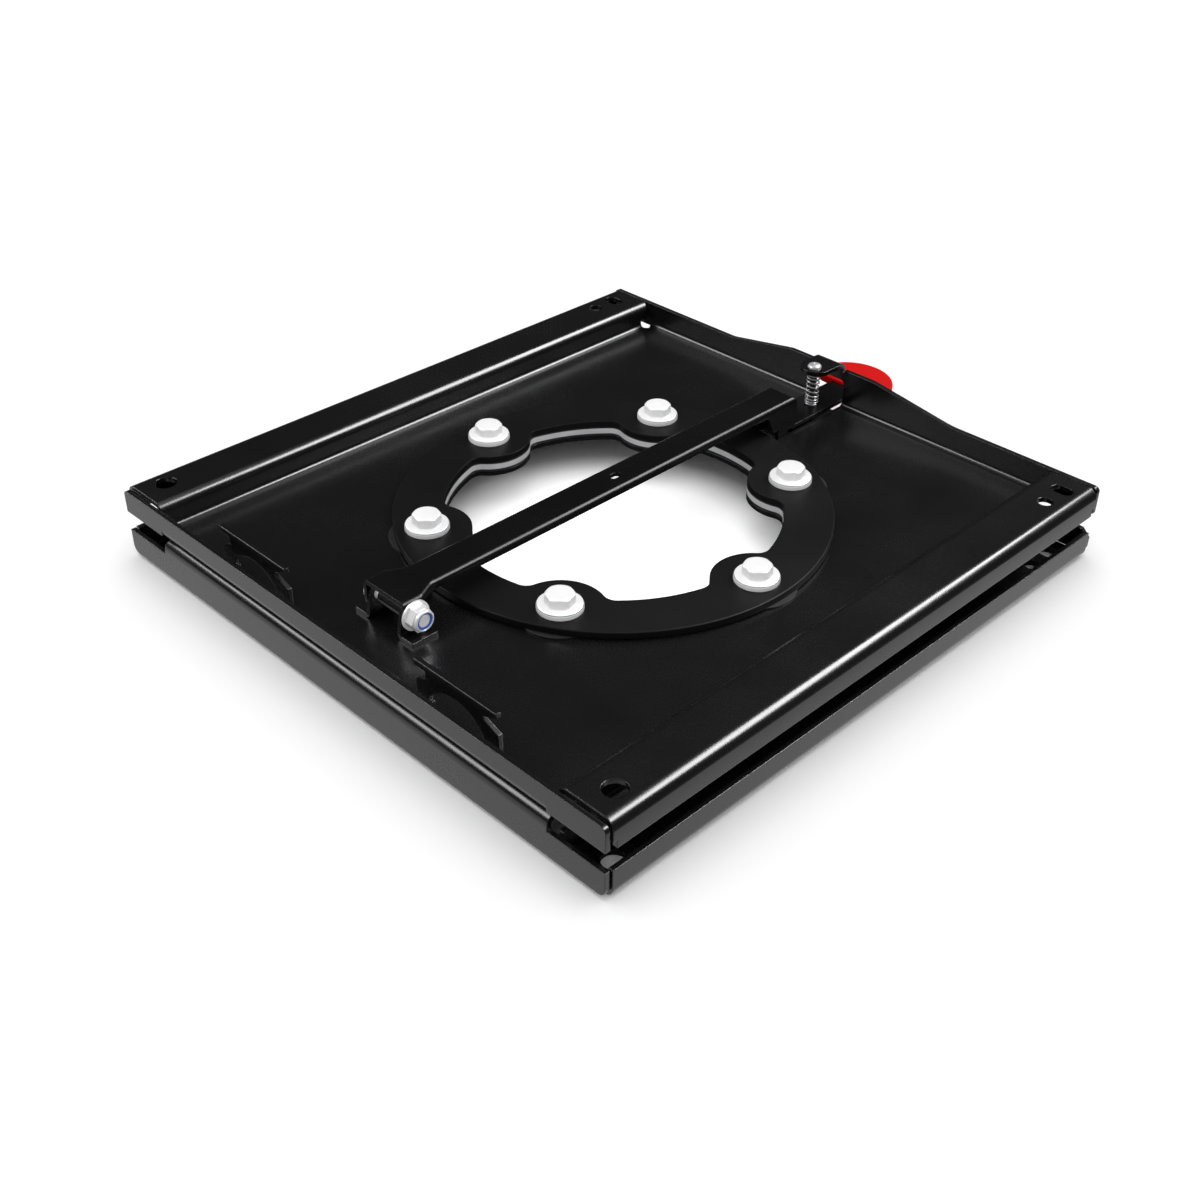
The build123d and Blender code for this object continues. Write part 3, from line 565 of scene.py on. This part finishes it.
def gripOutline(look, inset):
    radius, corner = look["radius"] - inset, look["corner"] - inset
    drop = look["centre"] - look["front"] - inset
    cornerY = corner - drop
    cornerX = math.sqrt((radius - corner) ** 2 - cornerY ** 2)
    points = []
    for i in range(look["steps"]):
        turn = math.tau * i / look["steps"] + math.pi / 2
        x, y = math.cos(turn), math.sin(turn)
        reach = radius
        if y * cornerX < cornerY * abs(x):  # past the round back: the corner, or the straight front
            if y < 0 and drop * abs(x) <= cornerX * -y:
                reach = drop / -y
            else:
                along = cornerX * abs(x) + cornerY * y
                reach = along + math.sqrt(max(along ** 2 - cornerX ** 2 - cornerY ** 2 + corner ** 2, 0))
        points.append((reach * x * mm, (look["centre"] + reach * y) * mm))
    return points


def leverGrip(look):
    low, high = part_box("lever_grip")
    outlines = []  # each with its rise over the grip's underside
    for i in range(look["edgeSteps"] + 1):
        turn = math.pi / 2 * i / look["edgeSteps"]
        outline = gripOutline(look, look["edge"] * (1 - math.sin(turn)))
        outlines.append((outline, look["edge"] * mm * (1 - math.cos(turn))))
    middle = look["centre"] * mm
    rings = [[(0, middle, low.z)]]
    rings += [[(x, y, low.z + rise) for x, y in outline] for outline, rise in outlines]
    rings += [[(x, y, high.z - rise) for x, y in outline] for outline, rise in reversed(outlines)]
    rings += [[(0, middle, high.z)]]
    grip = closedShape("leverGrip", rings)
    grip.data.materials.append(redPlastic)
    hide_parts("lever_grip")
    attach(grip, "lock_lever")


ringRivets(rivetLook)
leverSpring(springLook)
springScrew(screwLook)
leverGrip(gripLook)
print("rivets, spring, screw and grip are made")


# Floor, room, lights and camera, in metres

floorLook = {
    "reach": 12.0,
    "sink": 0.2 * mm,
    "colour": (0.98, 0.98, 0.98),
    "roughness": 0.8,
    "specular": 0.1,
    # painted reflection: glossy rays see the floor as a glowing pale sheet, with a painted dark strip
    # beyond the right side and painted shade under the trays
    "pale": 0.9,
    "paintedDarkStrip": 0.07,
    "paintedDarkStripFrom": 0.226,
    "paintedDarkStripTo": 0.244,
    "under": 0.03,
    "underFrom": 0.19,
    "underTo": 0.2,
    # painted light: a faint glow on the floor lifts the shade under the opening
    "openingPaintedLight": 0.4,
    "openingFrom": 0.085,
    "openingTo": 0.12,
}


# painted reflection and painted shade: an emission on the floor that only glossy rays see
def paintedFloorReflection(tree, coords, look):
    place = tree.nodes.new("ShaderNodeSeparateXYZ")
    tree.links.new(coords, place.inputs[0])
    outward = mathOf(tree, "MAXIMUM", mathOf(tree, "ABSOLUTE", place.outputs["X"]),
                     mathOf(tree, "ABSOLUTE", place.outputs["Y"]))
    paintedSheet = rangeOf(tree, place.outputs["X"], look["pale"], look["paintedDarkStrip"],
                    look["paintedDarkStripFrom"], look["paintedDarkStripTo"])
    clear = rangeOf(tree, outward, 0.0, 1.0, look["underFrom"], look["underTo"])
    paintedReflectionGlow = mathOf(tree, "MAXIMUM", mathOf(tree, "MULTIPLY", paintedSheet, clear), look["under"])
    # the floor glows for glossy rays: pale, painted dark beyond the right side and painted shade under
    # the trays
    mirrored = tree.nodes.new("ShaderNodeEmission")
    tree.links.new(paintedReflectionGlow, mirrored.inputs["Strength"])
    return mirrored.outputs[0]


def floorPaint(look):
    material, tree, shader, coords = newMaterial("floorPaint")
    shader.inputs["Base Color"].default_value = look["colour"] + (1.0,)
    shader.inputs["Roughness"].default_value = look["roughness"]
    shader.inputs["Specular IOR Level"].default_value = look["specular"]
    # painted light: the floor glows faintly under the opening, where shade falls
    fromMiddle = tree.nodes.new("ShaderNodeVectorMath")
    fromMiddle.operation = "LENGTH"
    tree.links.new(coords, fromMiddle.inputs[0])
    glow = rangeOf(tree, fromMiddle.outputs["Value"], look["openingPaintedLight"], 0.0,
                   look["openingFrom"], look["openingTo"])
    shader.inputs["Emission Color"].default_value = (1.0, 1.0, 1.0, 1.0)
    tree.links.new(glow, shader.inputs["Emission Strength"])
    # glossy rays see the painted reflection instead of the lit floor
    rays = tree.nodes.new("ShaderNodeLightPath")
    mix = tree.nodes.new("ShaderNodeMixShader")
    tree.links.new(rays.outputs["Is Glossy Ray"], mix.inputs[0])
    tree.links.new(shader.outputs[0], mix.inputs[1])
    tree.links.new(paintedFloorReflection(tree, coords, look), mix.inputs[2])
    tree.links.new(mix.outputs[0], tree.nodes["Material Output"].inputs["Surface"])
    return material


def layFloor(look):
    reach = look["reach"]
    corners = [(-reach, -reach, 0), (reach, -reach, 0), (reach, reach, 0), (-reach, reach, 0)]
    mesh = bpy.data.meshes.new("floor")
    mesh.from_pydata(corners, [], [(0, 1, 2, 3)])
    mesh.materials.append(floorPaint(look))
    floor = bpy.data.objects.new("floor", mesh)
    floor.location.z = -look["sink"]
    bpy.context.collection.objects.link(floor)


# The room is pale, but polished surfaces see it dark, so that only the softboxes show in them.
roomLook = {
    "pale": 1.0,
    "mirrored": 0.05,
}


def studioRoom(look):
    world = bpy.data.worlds.new("studio")
    bpy.context.scene.world = world
    world.use_nodes = True
    tree = world.node_tree
    background = tree.nodes["Background"]
    background.inputs["Color"].default_value = (1.0, 1.0, 1.0, 1.0)
    rays = tree.nodes.new("ShaderNodeLightPath")
    strength = rangeOf(tree, rays.outputs["Is Glossy Ray"], look["pale"], look["mirrored"], 0.0, 1.0)
    tree.links.new(strength, background.inputs["Strength"])


softboxes = {
    "overhead": {"place": (0.0, 0.0, 2.6), "size": (2.2, 2.2), "glow": 1.0, "onlyMirrored": False},
    "backRightBox": {"place": (0.73, 1.28, 1.63), "size": (1.6, 0.8), "glow": 24.0, "onlyMirrored": True},
    "frontLeftBox": {"place": (-1.4, -1.05, 1.5), "size": (1.8, 0.8), "glow": 10.0, "onlyMirrored": True},
}


def softbox(name, look):
    width, depth = look["size"]
    light = bpy.data.lights.new(name, "AREA")
    light.shape = "RECTANGLE"
    light.size, light.size_y = width, depth
    light.energy = look["glow"] * math.pi * width * depth
    lamp = bpy.data.objects.new(name, light)
    bpy.context.collection.objects.link(lamp)
    lamp.location = look["place"]
    lamp.rotation_euler = (-Vector(look["place"])).to_track_quat("-Z", "Y").to_euler()
    lamp.visible_diffuse = not look["onlyMirrored"]


cameraSet = {
    "azimuth": 44.948,
    "elevation": 35.0,
    "roll": 0.535,
    "distance": 887.02 * mm,
    "target": (28.91 * mm, -39.38 * mm, 0.0),
    "focal": 1539.94,  # in pixels of the photograph
    "photoWidth": 1200.0,
    "sensor": 36.0,
    "clip": (0.01, 100.0),
}


def photoCamera(settings):
    azimuth, elevation = math.radians(settings["azimuth"]), math.radians(settings["elevation"])
    back = Vector((math.sin(azimuth) * math.cos(elevation), -math.cos(azimuth) * math.cos(elevation),
                   math.sin(elevation)))
    right = (-back).cross(Vector((0, 0, 1))).normalized()
    up = right.cross(-back)
    roll = math.radians(settings["roll"])
    turnedRight = right * math.cos(roll) + up * math.sin(roll)
    turnedUp = up * math.cos(roll) - right * math.sin(roll)
    turn = Matrix((turnedRight, turnedUp, back)).transposed().to_4x4()
    place = Vector(settings["target"]) + back * settings["distance"]
    data = bpy.data.cameras.new("photoCamera")
    data.sensor_width = settings["sensor"]
    data.lens = settings["focal"] / settings["photoWidth"] * settings["sensor"]
    data.clip_start, data.clip_end = settings["clip"]
    camera = bpy.data.objects.new("photoCamera", data)
    bpy.context.collection.objects.link(camera)
    camera.matrix_world = Matrix.Translation(place) @ turn
    bpy.context.scene.camera = camera


layFloor(floorLook)
studioRoom(roomLook)
for name, look in softboxes.items():
    softbox(name, look)
photoCamera(cameraSet)
print("floor, room, lights and camera are in place")
